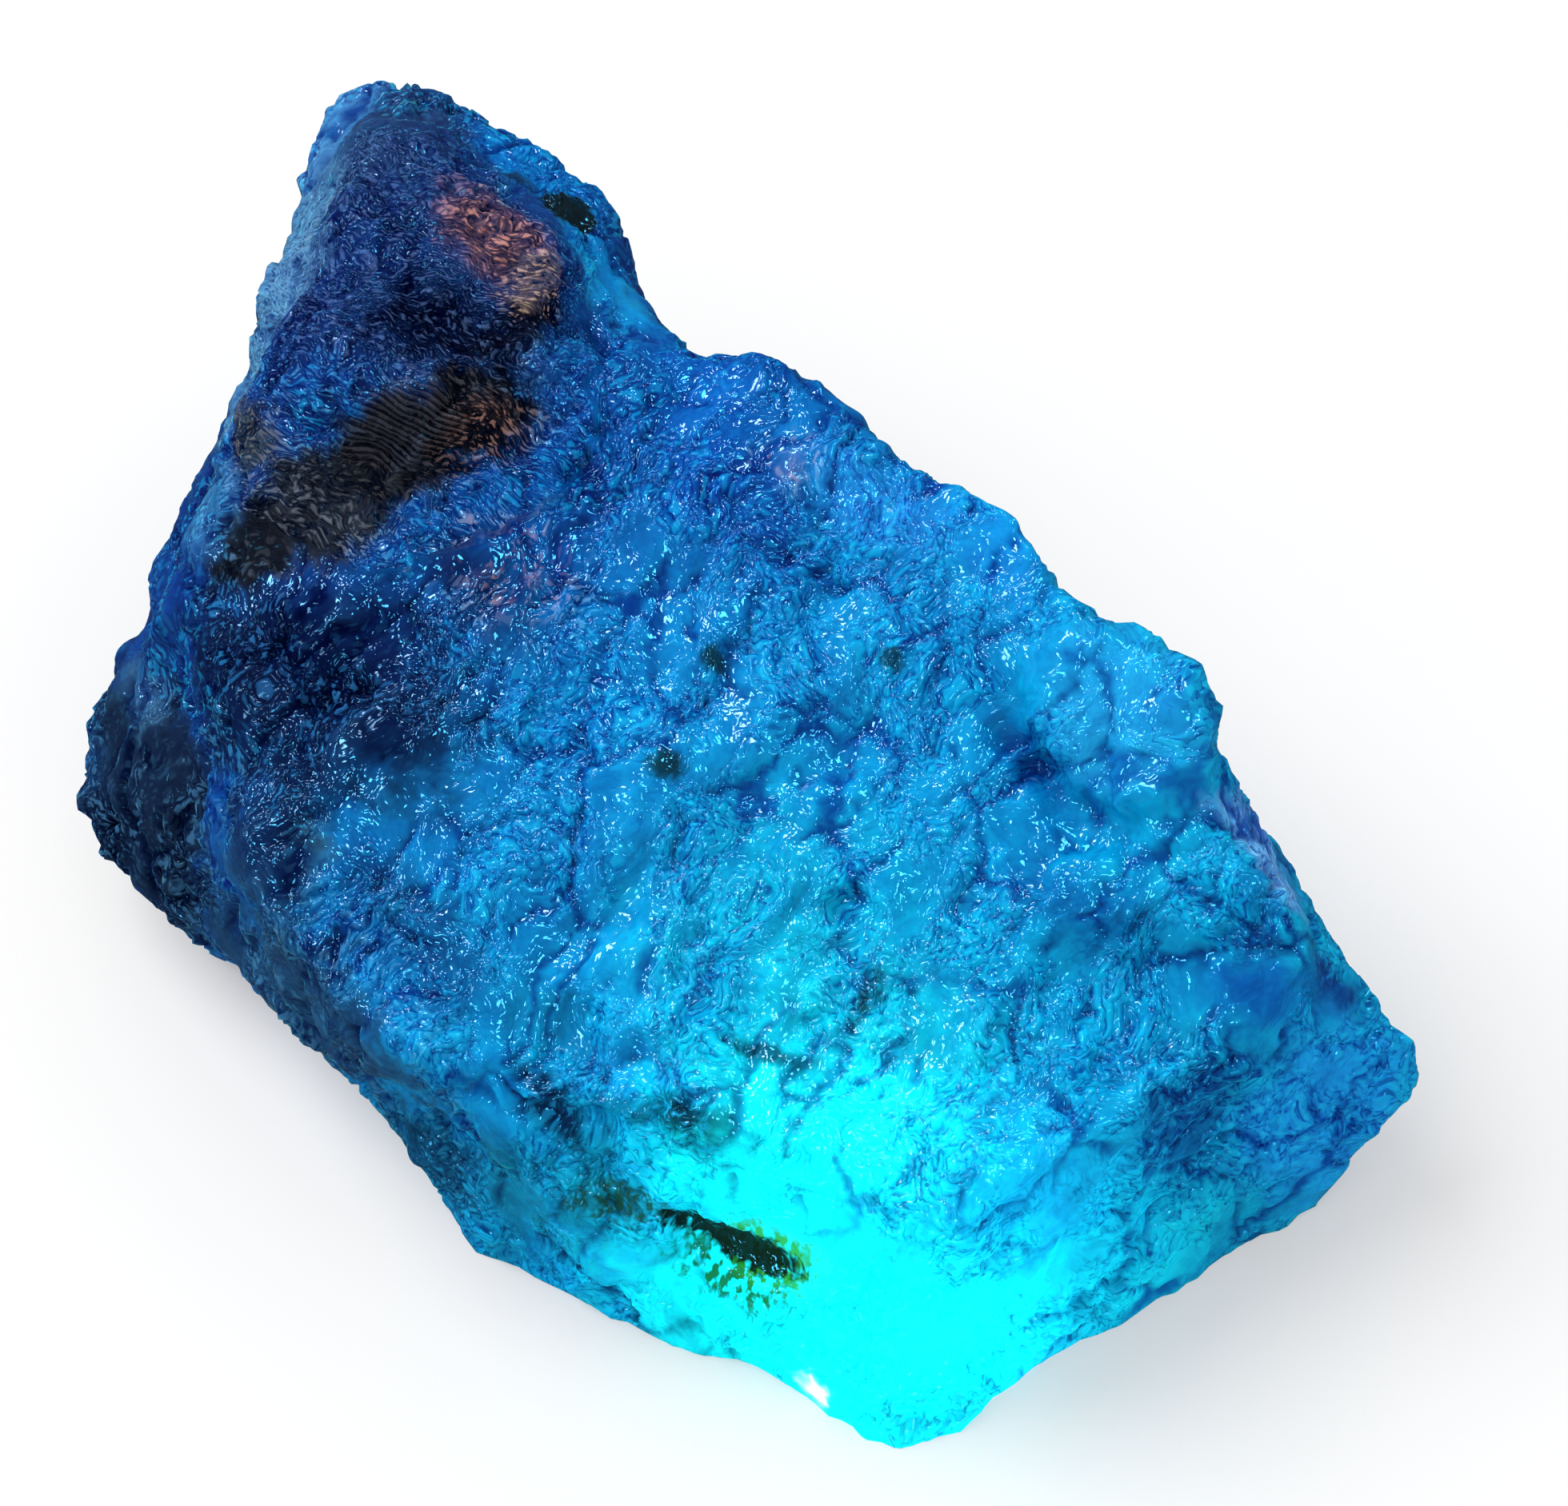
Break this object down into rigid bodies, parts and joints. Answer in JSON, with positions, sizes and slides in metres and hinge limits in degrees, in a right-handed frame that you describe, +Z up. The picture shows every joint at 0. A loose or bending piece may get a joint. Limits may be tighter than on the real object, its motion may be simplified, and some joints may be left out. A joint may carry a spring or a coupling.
{
  "type": "rough sapphire",
  "caption": "Large uncut block of translucent blue sapphire with broken faces, a raised dark shoulder at its narrow end and a flat broken face that it rests on.",
  "frame": {"origin": "middle of the block's bounding box, on the surface that it rests on", "axes": "+X along the block from its peaked end to its square-broken end, +Y across it towards the back, +Z up"},
  "size_m": [0.0934, 0.055, 0.038],
  "materials": {
    "sapphire": "uncut translucent blue corundum with glossy sugary broken faces and dark matrix"
  },
  "bodies": {
    "root": {"sapphire": "sapphire"}
  },
  "joints": []
}
